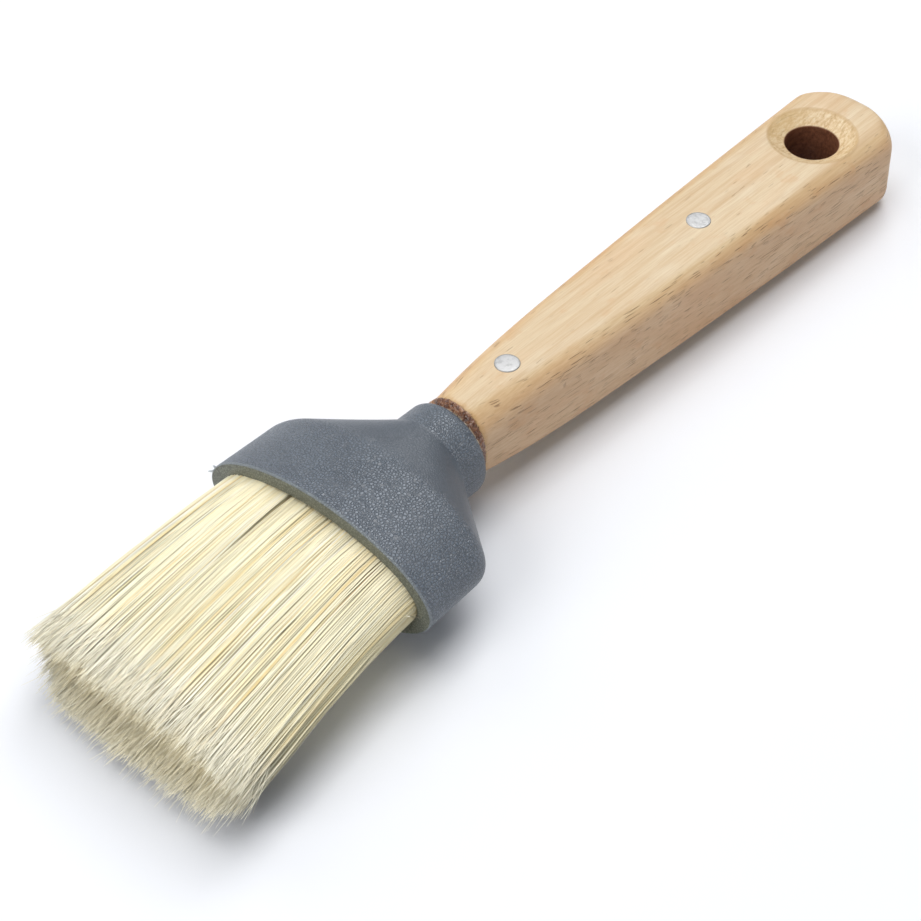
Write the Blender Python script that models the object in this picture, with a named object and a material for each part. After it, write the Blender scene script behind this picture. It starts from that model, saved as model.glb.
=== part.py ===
"""Flat pastry brush: beech handle, moulded ferrule, riveted tang and two rows of bristle.

Frame: metres, +Z up.  The brush lies along Y with the bristles towards -Y and the
handle towards +Y, and it is mirror-symmetric about X = 0.  The origin is below the
middle of the brush, on the level of the ferrule's lowest point.
"""
import math

import bmesh
import bpy
from mathutils import Vector

MM = 0.001
GAP = 0.3                     # air left between neighbouring solids, mm
OVERCUT = 5.0                 # how far a cutter runs past what it cuts
LEAST_FLAT = 0.05             # straight stretch that a rounded rectangle always keeps

# ---- driving dimensions, mm ------------------------------------------------
AXIS_Z = 13.4                 # height of the ferrule's long axis
HANDLE_RISE = 0.8             # the grip's middle plane sits this far above that axis

HANDLE_FRONT_Y = -18.8        # full wood section starts here
HANDLE_END_Y = 110.5
HANDLE_HALF_W = 8.25          # half width at the front rivet
HANDLE_TAPER = 0.0630         # how fast the half width grows there, mm per mm
HANDLE_BELLY = 0.000175       # how fast that growth falls off along the handle
HANDLE_HALF_T = 9.7           # half thickness of the beech stock
HANDLE_EDGE_R = 4.7           # rounding along the long edges
HANDLE_NECK_R = 7.3           # rounding where the handle meets the ferrule
HANDLE_NECK_REACH = 34.0      # length over which the one rounding turns into the other
HANDLE_NECK_DIP = 0.5         # how much thinner the front end is, on each face
END_CAP = 7.6                 # length over which the far end rounds off
END_EXPONENT = 1.8
END_EDGE_R = 3.0              # rounding of the far end in height
END_HALF_W = 1.4              # half width left at the very end

SPIGOT_R = 7.9
SPIGOT_FRONT_Y = -30.6
SPIGOT_CHAMFER = 0.8

HOLE_Y = 92.6
HOLE_R = 5.85
SINK_R = 9.95
SINK_DEPTH = 2.1

RIVET_Y = {"rivet_front": -5.0, "rivet_rear": 54.0}
RIVET_R = 2.6
RIVET_PROUD = 0.3
RIVET_CHAMFER = 0.25

TANG_HALF_W = 5.5
TANG_T = 1.6
TANG_Y = (-41.6, 62.0)
TANG_CORNER_R = 0.2
MORTISE_SPARE = 2.0           # how much deeper the mortise is than the tang

GLUE_EDGE_R = 8.75            # outer radius of the glue ring at its two edges
GLUE_CREST_R = 9.0            # and at its middle

COLLAR_R = 10.15
COLLAR_REAR_Y = -21.3
COLLAR_FRONT_Y = -28.6
COLLAR_EDGE_R = 1.7
SHOULDER_Y = -41.6
SHOULDER_A = 28.0             # half width at the shoulder
SHOULDER_B = 13.4             # half height at the shoulder
SHOULDER_CORNER_R = 5.0
NECK_CORNER_R = 3.2
RIM_Y = -58.0
RIM_A = 28.8
RIM_B = 13.15
RIM_EXPONENT = 1.92
BORE_R = SPIGOT_R + GAP
BORE_END_Y = -31.2

RESIN_FRONT_Y = -44.0
CAVITY_END_Y = -36.0
CAVITY_RIM = (25.3, 9.7)      # half width and half height of the hollow at the rim,
CAVITY_WAIST = (24.2, 9.7)    # where the resin starts,
CAVITY_END = (15.0, 8.4)      # and at its blind end
CAVITY_EXPONENT = 1.97

ROOTS_FRONT_Y = -50.4
ROOTS_CLEAR = 1.0             # air between the bristle roots and the ferrule's wall
DIVIDER_HALF_W = 17.0
DIVIDER_T = 3.0
DIVIDER_CORNER_R = 1.4

PIVOT_Y = -60.2               # the bristles bend about an X axis here
TIP_Y = -110.5
TUFT_A = 24.6
TUFT_B = 9.0
TIP_A = 27.0
TIP_B = 6.5
TIP_DROOP = 5.3               # the tips hang this far below the axis
DROOP_POWER = 1.5
ROW_GAP = 1.2

# ---- materials: colour, roughness, metallic --------------------------------
FINISH = {
    "beech": ((0.79, 0.61, 0.40), 0.55, 0.0),
    "grey_plastic": ((0.122, 0.144, 0.170), 0.48, 0.0),
    "aluminium": ((0.80, 0.81, 0.83), 0.38, 1.0),
    "steel": ((0.55, 0.56, 0.58), 0.35, 1.0),
    "brown_glue": ((0.16, 0.07, 0.03), 0.40, 0.0),
    "resin": ((0.30, 0.24, 0.12), 0.35, 0.0),
    "bristle": ((0.83, 0.75, 0.50), 0.60, 0.0),
    "divider": ((0.55, 0.40, 0.24), 0.70, 0.0),
}


# ---- small helpers ---------------------------------------------------------
def clear_scene():
    for obj in list(bpy.data.objects):
        bpy.data.objects.remove(obj, do_unlink=True)


def material(name):
    colour, roughness, metallic = FINISH[name]
    mat = bpy.data.materials.get(name) or bpy.data.materials.new(name)
    mat.use_nodes = True
    shader = mat.node_tree.nodes["Principled BSDF"]
    shader.inputs["Base Color"].default_value = (*colour, 1.0)
    shader.inputs["Roughness"].default_value = roughness
    shader.inputs["Metallic"].default_value = metallic
    mat.diffuse_color = (*colour, 1.0)
    return mat


def make_object(name, bm, finish, origin=(0.0, 0.0, 0.0), sharp=35.0):
    """Turn a bmesh drawn in mm, in world coordinates, into an object at origin (mm)."""
    centre = Vector(origin)
    for vert in bm.verts:
        vert.co = (vert.co - centre) * MM
    bmesh.ops.recalc_face_normals(bm, faces=bm.faces)
    mesh = bpy.data.meshes.new(name)
    bm.to_mesh(mesh)
    bm.free()
    mesh.shade_smooth()
    mesh.set_sharp_from_angle(angle=math.radians(sharp))
    obj = bpy.data.objects.new(name, mesh)
    obj.location = centre * MM
    if finish:
        obj.data.materials.append(material(finish))
    bpy.context.scene.collection.objects.link(obj)
    return obj


def make_cutter(name, bm):
    obj = make_object(name, bm, None)
    obj.hide_render = True
    obj.display_type = 'WIRE'
    return obj


def cut(obj, cutter):
    mod = obj.modifiers.new(cutter.name, 'BOOLEAN')
    mod.operation = 'DIFFERENCE'
    mod.solver = 'EXACT'
    mod.object = cutter


def loft(sections):
    """Closed body through loops that all have the same number of points."""
    bm = bmesh.new()
    rings = [[bm.verts.new(point) for point in loop] for loop in sections]
    for ring_a, ring_b in zip(rings, rings[1:]):
        for i in range(len(ring_a)):
            j = (i + 1) % len(ring_a)
            bm.faces.new((ring_a[i], ring_a[j], ring_b[j], ring_b[i]))
    bm.faces.new(rings[0])
    bm.faces.new(rings[-1])
    return bm


def box_section(y, half_w, half_h, radius, steps=6, rise=0.0):
    """Rounded rectangle in the plane of constant y, round the brush axis or above it."""
    radius = min(radius, half_w - LEAST_FLAT, half_h - LEAST_FLAT)
    loop = []
    for quarter in range(4):
        side_x = 1 if quarter in (0, 3) else -1
        side_z = 1 if quarter in (0, 1) else -1
        for k in range(steps + 1):
            angle = math.pi / 2 * (quarter + k / steps)
            x = side_x * (half_w - radius) + radius * math.cos(angle)
            z = side_z * (half_h - radius) + radius * math.sin(angle)
            loop.append((x, y, AXIS_Z + rise + z))
    return loop


def oval_section(y, half_w, half_h, exponent=2.0, count=44):
    """Superellipse in the plane of constant y, round the brush axis."""
    loop = []
    for k in range(count):
        angle = 2 * math.pi * k / count
        c, s = math.cos(angle), math.sin(angle)
        x = math.copysign(abs(c) ** (2 / exponent), c) * half_w
        z = math.copysign(abs(s) ** (2 / exponent), s) * half_h
        loop.append((x, y, AXIS_Z + z))
    return loop


def cylinder_z(y, radius, z_low, z_high, count=28):
    """Upright round pin or hole at (0, y)."""
    loops = []
    for z in (z_low, z_high):
        loops.append([(radius * math.cos(2 * math.pi * k / count),
                       y + radius * math.sin(2 * math.pi * k / count), z) for k in range(count)])
    return loft(loops)


def rounded_corner(before, corner, after, radius, steps=6):
    """Arc of the given radius that replaces a corner of a 2-D profile."""
    into = (Vector(corner) - Vector(before)).normalized()
    out = (Vector(after) - Vector(corner)).normalized()
    turn = into.angle(out)
    reach = radius * math.tan(turn / 2)
    start = Vector(corner) - into * reach
    side = 1 if into.cross(out) > 0 else -1
    normal = Vector((-into.y, into.x)) * side
    centre = start + normal * radius
    points = []
    for k in range(steps + 1):
        angle = turn * k / steps
        points.append(centre - normal * radius * math.cos(angle) + into * radius * math.sin(angle))
    return points


def tang_room(front, rear):
    """Flat slot that the tang fits with a gap all round, from front to rear."""
    half_w = TANG_HALF_W + GAP
    half_h = TANG_T / 2 + GAP
    return loft([box_section(y, half_w, half_h, LEAST_FLAT, steps=1) for y in (front, rear)])


# ---- handle ----------------------------------------------------------------
def handle_half_width(y):
    along = y - RIVET_Y["rivet_front"]
    return HANDLE_HALF_W + HANDLE_TAPER * along - HANDLE_BELLY * along ** 2


def handle_corner_radius(y):
    k = max(0.0, 1.0 - (y - HANDLE_FRONT_Y) / HANDLE_NECK_REACH)
    return HANDLE_EDGE_R + (HANDLE_NECK_R - HANDLE_EDGE_R) * k * k


def handle_section(y):
    """Section of the wood, with the far end rounded in plan and in height."""
    half_w = handle_half_width(y)
    half_h = HANDLE_HALF_T
    if y < 0.0:
        half_h -= HANDLE_NECK_DIP * (y / HANDLE_FRONT_Y) ** 2
    t = (y - (HANDLE_END_Y - END_CAP)) / END_CAP
    if t > 0.0:
        half_w *= max(0.0, 1.0 - t ** END_EXPONENT) ** (1 / END_EXPONENT)
    from_end = HANDLE_END_Y - y
    if from_end < END_EDGE_R:
        short = END_EDGE_R - from_end
        half_h -= END_EDGE_R - math.sqrt(END_EDGE_R ** 2 - short ** 2)
    half_w = max(half_w, END_HALF_W)
    return box_section(y, half_w, half_h, handle_corner_radius(y), rise=HANDLE_RISE)


def build_handle():
    spigot_tip = SPIGOT_R - SPIGOT_CHAMFER
    spigot = [box_section(SPIGOT_FRONT_Y, spigot_tip, spigot_tip, SPIGOT_R),
              box_section(SPIGOT_FRONT_Y + SPIGOT_CHAMFER, SPIGOT_R, SPIGOT_R, SPIGOT_R),
              box_section(HANDLE_FRONT_Y, SPIGOT_R, SPIGOT_R, SPIGOT_R)]
    shank_y = [HANDLE_FRONT_Y, -14.0, -8.0, 0.0, 10.0, 25.0, 45.0, 65.0, 85.0]
    cap_start = HANDLE_END_Y - END_CAP
    cap_y = [cap_start + END_CAP * math.sin(math.radians(a)) for a in (0, 22, 40, 55, 67, 78, 90)]
    body = loft(spigot + [handle_section(y) for y in shank_y + cap_y])
    handle = make_object("handle", body, "beech")

    mortise = tang_room(SPIGOT_FRONT_Y - OVERCUT, TANG_Y[1] + MORTISE_SPARE)
    cut(handle, make_cutter("mortise_cutter", mortise))
    for name, y in RIVET_Y.items():
        drill = cylinder_z(y, RIVET_R + GAP, -OVERCUT, 2 * AXIS_Z + OVERCUT)
        cut(handle, make_cutter(name + "_drill", drill))
    cut(handle, make_cutter("hanging_hole_cutter", hanging_hole()))
    return handle


def hanging_hole(count=36):
    """Through hole with a wide, shallow countersink on both faces."""
    top = AXIS_Z + HANDLE_RISE + HANDLE_HALF_T
    low = AXIS_Z + HANDLE_RISE - HANDLE_HALF_T
    slope = (SINK_R - HOLE_R) / SINK_DEPTH
    over = 0.5
    profile = [(SINK_R + slope * over, low - over), (HOLE_R, low + SINK_DEPTH),
               (HOLE_R, top - SINK_DEPTH), (SINK_R + slope * over, top + over)]
    return loft([[(r * math.cos(2 * math.pi * k / count), HOLE_Y + r * math.sin(2 * math.pi * k / count), z)
                  for k in range(count)] for r, z in profile])


# ---- tang, rivets and glue -------------------------------------------------
def build_tang():
    strip = loft([box_section(y, TANG_HALF_W, TANG_T / 2, TANG_CORNER_R, steps=1) for y in TANG_Y])
    tang = make_object("tang", strip, "steel", origin=(0.0, TANG_Y[0], AXIS_Z))
    for name, y in RIVET_Y.items():
        hole = cylinder_z(y, RIVET_R + GAP, AXIS_Z - OVERCUT, AXIS_Z + OVERCUT)
        cut(tang, make_cutter(name + "_tang_hole", hole))
    return tang


def build_rivet(name, y, count=28):
    """Plain through pin with softened ends, a little proud of the wood."""
    half = HANDLE_HALF_T + RIVET_PROUD
    face_r = RIVET_R - RIVET_CHAMFER
    shank = half - RIVET_CHAMFER
    profile = [(face_r, -half), (RIVET_R, -shank), (RIVET_R, shank), (face_r, half)]
    middle = AXIS_Z + HANDLE_RISE
    rings = [[(r * math.cos(2 * math.pi * k / count), y + r * math.sin(2 * math.pi * k / count), middle + z)
              for k in range(count)] for r, z in profile]
    return make_object(name, loft(rings), "aluminium", origin=(0.0, y, middle))


def build_glue_bead(count=32):
    """Ring of squeezed-out glue between the collar and the step of the wood."""
    inner = SPIGOT_R + GAP
    front = COLLAR_REAR_Y + GAP
    rear = HANDLE_FRONT_Y - GAP
    crest = (GLUE_CREST_R, (front + rear) / 2)
    profile = [(inner, front), (inner, rear), (GLUE_EDGE_R, rear), crest, (GLUE_EDGE_R, front)]
    bm = bmesh.new()
    rings = []
    for k in range(count):
        angle = 2 * math.pi * k / count
        rings.append([bm.verts.new((r * math.cos(angle), y, AXIS_Z + r * math.sin(angle))) for r, y in profile])
    for k in range(count):
        ring_a, ring_b = rings[k], rings[(k + 1) % count]
        for i in range(len(profile)):
            j = (i + 1) % len(profile)
            bm.faces.new((ring_a[i], ring_a[j], ring_b[j], ring_b[i]))
    return make_object("glue_bead", bm, "brown_glue")


# ---- ferrule ---------------------------------------------------------------
def ferrule_profile():
    """Stations (y, flare) from the rim to the collar's rear edge.

    flare is how far the half width stands out from the collar's radius.
    """
    flare = SHOULDER_A - COLLAR_R
    rim = (RIM_Y, RIM_A - COLLAR_R)
    shoulder = (SHOULDER_Y, flare)
    neck = (COLLAR_FRONT_Y, 0.0)
    rear = (COLLAR_REAR_Y, 0.0)
    below = (COLLAR_REAR_Y, -COLLAR_R)
    stations = [Vector(rim)]
    stations += rounded_corner(rim, shoulder, neck, SHOULDER_CORNER_R)
    stations += rounded_corner(shoulder, neck, rear, NECK_CORNER_R, steps=5)
    stations += rounded_corner(neck, rear, below, COLLAR_EDGE_R, steps=4)
    return stations


def ferrule_outer_section(y, flare):
    widest = SHOULDER_A - COLLAR_R
    share = min(1.0, max(0.0, flare / widest))
    half_h = COLLAR_R + (SHOULDER_B - COLLAR_R) * share + min(0.0, flare)
    if y < SHOULDER_Y:
        half_h += (RIM_B - SHOULDER_B) * (y - SHOULDER_Y) / (RIM_Y - SHOULDER_Y)
    exponent = 2.0 + (RIM_EXPONENT - 2.0) * share
    return oval_section(y, COLLAR_R + flare, half_h, exponent)


def cavity_size(y):
    """Half width and half height of the moulded hollow behind the rim."""
    stations = ((RIM_Y, CAVITY_RIM), (RESIN_FRONT_Y, CAVITY_WAIST), (CAVITY_END_Y, CAVITY_END))
    front, rear = stations[:2] if y < RESIN_FRONT_Y else stations[1:]
    k = (y - front[0]) / (rear[0] - front[0])
    return Vector(front[1]).lerp(Vector(rear[1]), k)


def cavity_section(y, inset=0.0):
    half_w, half_h = cavity_size(y)
    return oval_section(y, half_w - inset, half_h - inset, CAVITY_EXPONENT)


def build_ferrule():
    outer = loft([ferrule_outer_section(point.x, point.y) for point in ferrule_profile()])
    ferrule = make_object("ferrule", outer, "grey_plastic")
    hollow = loft([cavity_section(y) for y in (RIM_Y - OVERCUT, RESIN_FRONT_Y, CAVITY_END_Y)])
    cut(ferrule, make_cutter("mouth_cutter", hollow))
    bore = loft([box_section(y, BORE_R, BORE_R, BORE_R) for y in (BORE_END_Y, COLLAR_REAR_Y + OVERCUT)])
    cut(ferrule, make_cutter("collar_bore_cutter", bore))
    slot = tang_room(CAVITY_END_Y - OVERCUT, BORE_END_Y + OVERCUT)
    cut(ferrule, make_cutter("tang_slot_cutter", slot))
    return ferrule


# ---- what the ferrule holds ------------------------------------------------
def build_resin():
    block = loft([cavity_section(y, GAP) for y in (RESIN_FRONT_Y, CAVITY_END_Y - GAP)])
    resin = make_object("setting_resin", block, "resin")
    pocket = tang_room(TANG_Y[0] - GAP, CAVITY_END_Y + OVERCUT)
    cut(resin, make_cutter("tang_pocket_cutter", pocket))
    return resin


def build_roots_and_divider():
    rear = RESIN_FRONT_Y - GAP
    block = loft([cavity_section(y, ROOTS_CLEAR) for y in (ROOTS_FRONT_Y, rear)])
    roots = make_object("bristle_roots", block, "bristle")
    window = loft([box_section(y, DIVIDER_HALF_W + GAP, DIVIDER_T / 2 + GAP, DIVIDER_CORNER_R + GAP)
                   for y in (ROOTS_FRONT_Y - OVERCUT, rear + OVERCUT)])
    cut(roots, make_cutter("divider_window_cutter", window))
    plug = loft([box_section(y, DIVIDER_HALF_W, DIVIDER_T / 2, DIVIDER_CORNER_R)
                 for y in (ROOTS_FRONT_Y, rear)])
    make_object("divider_plug", plug, "divider")


# ---- bristle rows ----------------------------------------------------------
def share_of_length(y):
    """0 at the pivot and behind it, 1 at the tips."""
    return max(0.0, (PIVOT_Y - y) / (PIVOT_Y - TIP_Y))


def tuft_section(y):
    """One slice through both rows, as a plain ellipse round the brush axis.

    Behind the pivot the slice shrinks like a round knuckle, so that the rows can
    turn inside the rim.  In front of it the rows widen and grow thinner.
    """
    k = share_of_length(y)
    half_w = TUFT_A + (TIP_A - TUFT_A) * k
    half_h = TUFT_B + (TIP_B - TUFT_B) * k
    behind = max(0.0, y - PIVOT_Y)
    reach = math.sqrt(1.0 - (behind / half_h) ** 2)
    return oval_section(y, half_w * reach, half_h * reach, count=40)


def build_bristle_row(name, side, knuckle_rings=5, straight_steps=8):
    """Upper row for side +1, lower row for side -1; the rows face across a narrow gap."""
    knuckle = [PIVOT_Y + TUFT_B * math.sin(math.radians(16 * i)) for i in range(knuckle_rings, 0, -1)]
    straight = [PIVOT_Y + (TIP_Y - PIVOT_Y) * i / straight_steps for i in range(straight_steps + 1)]
    bm = loft([tuft_section(y) for y in knuckle + straight])
    split_z = AXIS_Z + side * ROW_GAP / 2
    everything = list(bm.verts) + list(bm.edges) + list(bm.faces)
    cutting = bmesh.ops.bisect_plane(bm, geom=everything, plane_co=(0.0, 0.0, split_z),
                                     plane_no=(0.0, 0.0, side), clear_inner=True)
    rim = [item for item in cutting["geom_cut"] if isinstance(item, bmesh.types.BMEdge)]
    bmesh.ops.edgeloop_fill(bm, edges=rim)
    for vert in bm.verts:
        vert.co.z -= TIP_DROOP * share_of_length(vert.co.y) ** DROOP_POWER
    bmesh.ops.triangulate(bm, faces=bm.faces)
    return make_object(name, bm, "bristle", origin=(0.0, PIVOT_Y, AXIS_Z))


def main():
    clear_scene()
    build_handle()
    build_tang()
    for name, y in RIVET_Y.items():
        build_rivet(name, y)
    build_glue_bead()
    build_ferrule()
    build_resin()
    build_roots_and_divider()
    build_bristle_row("upper_bristles", 1)
    build_bristle_row("lower_bristles", -1)


main()
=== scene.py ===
"""Looks for the pastry brush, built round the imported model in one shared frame.

Shapes are drawn in millimetres in the row frame and scaled once, when a mesh is made.
The wood, ferrule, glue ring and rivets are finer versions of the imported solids, with the
same driving dimensions.  The bristle rows are thousands of separate tapered hairs, which
bend from the ferrule's mouth to their tips.
"""
import math

import bpy
import numpy as np
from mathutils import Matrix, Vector


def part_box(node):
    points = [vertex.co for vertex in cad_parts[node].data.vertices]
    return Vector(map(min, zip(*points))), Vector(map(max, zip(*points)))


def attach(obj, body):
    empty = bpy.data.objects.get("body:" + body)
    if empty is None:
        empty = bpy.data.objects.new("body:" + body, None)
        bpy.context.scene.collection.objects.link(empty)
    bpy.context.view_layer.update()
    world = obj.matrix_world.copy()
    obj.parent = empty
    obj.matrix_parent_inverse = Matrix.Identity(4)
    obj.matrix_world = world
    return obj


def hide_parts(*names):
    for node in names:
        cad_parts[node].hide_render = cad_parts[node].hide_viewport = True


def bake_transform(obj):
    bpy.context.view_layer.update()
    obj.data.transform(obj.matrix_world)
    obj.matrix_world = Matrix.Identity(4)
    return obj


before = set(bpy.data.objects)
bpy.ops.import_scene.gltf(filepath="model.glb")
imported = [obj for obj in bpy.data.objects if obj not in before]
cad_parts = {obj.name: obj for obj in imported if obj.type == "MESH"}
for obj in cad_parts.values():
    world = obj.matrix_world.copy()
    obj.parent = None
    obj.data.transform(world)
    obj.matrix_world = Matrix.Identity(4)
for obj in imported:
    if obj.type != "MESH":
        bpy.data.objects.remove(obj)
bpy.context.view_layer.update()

MM = 0.001


def span(node_name):
    """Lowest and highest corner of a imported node, in mm."""
    low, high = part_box(node_name)
    return np.array(low) / MM, np.array(high) / MM


# ---- places read from the frame, mm ---------------------------------------------------
ferrule_low, ferrule_high = span("ferrule")
handle_low, handle_high = span("handle")
AXIS_Z = (ferrule_low[2] + ferrule_high[2]) / 2
RIM_Y = ferrule_low[1]
COLLAR_REAR_Y = ferrule_high[1]
RIM_A = ferrule_high[0]
SHOULDER_B = AXIS_Z - ferrule_low[2]
HANDLE_END_Y = handle_high[1]
HANDLE_MID_Z = (handle_low[2] + handle_high[2]) / 2
HANDLE_HALF_T = (handle_high[2] - handle_low[2]) / 2
SPIGOT_FRONT_Y = handle_low[1]
RIVETS = {name: span(name) for name in ("rivet_front", "rivet_rear")}
RIVET_R = (RIVETS["rivet_front"][1][0] - RIVETS["rivet_front"][0][0]) / 2

# ---- driving dimensions that the boxes don't give, mm ---------------------------------
HANDLE_FRONT_Y = -18.8
WOOD_FRONT_Y = -19.9            # the full section starts a little nearer the collar
HANDLE_HALF_W = 8.25            # at the front rivet
HANDLE_TAPER = 0.063           # half width gained per mm behind it
HANDLE_BELLY = 0.000175         # and lost per mm squared
HANDLE_EDGE_R = 4.7
HANDLE_NECK_R = 7.3             # edges are rounder at the front, over the neck's reach
HANDLE_NECK_REACH = 34.0
HANDLE_NECK_DIP = 0.5
END_CAP = 7.6                   # length over which the end is rounded
END_EXPONENT = 1.8
END_EDGE_R = 3.0
END_HALF_W = 1.4
WOOD_EDGE_R = 0.7               # rounding where the full section starts
SPIGOT_R = 7.9
SPIGOT_CHAMFER = 0.8
HOLE_Y = 92.6
HOLE_R = 5.75
SINK_R = 9.7
SINK_DEPTH = 2.1
SINK_LIP_R = 0.5
THROAT_R = 0.3
RIVET_DOME = 0.10
RIVET_EDGE_R = 0.28
RIVET_GAP = 0.10                # between a rivet and its hole

COLLAR_R = 10.15
COLLAR_FRONT_Y = -28.6
COLLAR_EDGE_R = 1.7
SHOULDER_Y = -41.6
SHOULDER_A = 28.0
SHOULDER_CORNER_R = 5.0
NECK_CORNER_R = 1.4
RIM_B = 13.0
RIM_SINK = 0.5                  # the mouth lies this far below the axis
TWIST = math.radians(2.0)       # the ferrule sits slightly turned on the handle
RIM_EXPONENT = 1.92
BORE_R = 8.2
BORE_END_Y = -31.2
RESIN_FRONT_Y = -44.0
CAVITY_END_Y = -36.0
CAVITY_RIM = (25.3, 9.7)
CAVITY_WAIST = (24.2, 9.7)
CAVITY_END = (15.0, 8.4)
CAVITY_EXPONENT = 1.97
LIP_R = 0.4                     # rounding on both sides of the rim


# ---- node materials -------------------------------------------------------------------
def new_material(name, **sockets):
    """A material with a Principled shader; sockets are its uniform values."""
    mat = bpy.data.materials.new(name)
    mat.use_nodes = True
    shader = mat.node_tree.nodes["Principled BSDF"]
    for key, value in sockets.items():
        shader.inputs[key.replace("_", " ").title().replace("Ior", "IOR")].default_value = value
    return mat, mat.node_tree, shader


def node(tree, kind, inputs, **settings):
    """Adds a shader node; inputs are linked where they are sockets and set otherwise."""
    made = tree.nodes.new("ShaderNode" + kind)
    for key, value in settings.items():
        setattr(made, key, value)
    for key, value in inputs.items():
        if isinstance(value, bpy.types.NodeSocket):
            tree.links.new(value, made.inputs[key])
        else:
            made.inputs[key].default_value = value
    return made


def place(tree, per_mm=1.0, offset=(0.0, 0.0, 0.0), warp=None):
    """Object coordinates in mm, times per_mm: one number, or one for each axis."""
    source = node(tree, "TexCoord", {}).outputs["Object"]
    scale = tuple(np.broadcast_to(per_mm, 3) / MM)
    mapped = node(tree, "Mapping", {"Vector": source, "Scale": scale, "Location": offset}).outputs[0]
    if warp is None:
        return mapped
    return node(tree, "VectorMath", {0: mapped, 1: warp}, operation="ADD").outputs[0]


def noise(tree, per_mm, detail=2.0, roughness=0.5, **placing):
    """Noise with about per_mm lumps in a mm along each axis."""
    vector = place(tree, per_mm, **placing)
    return node(tree, "TexNoise", {"Vector": vector, "Scale": 1.0, "Detail": detail,
                                   "Roughness": roughness}).outputs["Fac"]


# The helpers below take the node tree from a socket.
def calc(operation, first, second=0.0, clamp=False):
    tree = next(v for v in (first, second) if isinstance(v, bpy.types.NodeSocket)).id_data
    return node(tree, "Math", {0: first, 1: second}, operation=operation, use_clamp=clamp).outputs[0]


def times(first, second):
    return calc("MULTIPLY", first, second)


def plus(first, second):
    return calc("ADD", first, second)


def minus(first, second):
    return calc("SUBTRACT", first, second)


def band(value, low, high, to_low=0.0, to_high=1.0):
    """Smooth step from to_low to to_high, as value goes from low to high."""
    inputs = {"Value": value, "From Min": low, "From Max": high, "To Min": to_low, "To Max": to_high}
    return node(value.id_data, "MapRange", inputs, interpolation_type="SMOOTHSTEP").outputs[0]


def ramp(factor, stops):
    """Colour ramp through stops of (position, (r, g, b))."""
    made = node(factor.id_data, "ValToRGB", {"Fac": factor})
    elements = made.color_ramp.elements
    while len(elements) < len(stops):
        elements.new(0.5)
    for element, (position, colour) in zip(elements, stops):
        element.position = position
        element.color = (*colour, 1.0)
    return made.outputs["Color"]


def blend(factor, first, second, mode="MIX"):
    """Mixes two colours, each a socket or an (r, g, b)."""
    values = {}
    for key, value in ((6, first), (7, second)):
        values[key] = value if isinstance(value, bpy.types.NodeSocket) else (*value, 1.0)
    values[0] = factor
    return node(factor.id_data, "Mix", values, data_type="RGBA", blend_type=mode).outputs[2]


def bump(height, depth_mm):
    inputs = {"Height": height, "Strength": 1.0, "Distance": depth_mm * MM}
    return node(height.id_data, "Bump", inputs).outputs["Normal"]


def axes(vector):
    """The x, y and z of a vector."""
    return node(vector.id_data, "SeparateXYZ", {"Vector": vector}).outputs[:]


def link_look(shader, colour, roughness, normal=None):
    links = shader.id_data.links
    links.new(colour, shader.inputs["Base Color"])
    links.new(roughness, shader.inputs["Roughness"])
    if normal is not None:
        links.new(normal, shader.inputs["Normal"])


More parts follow.
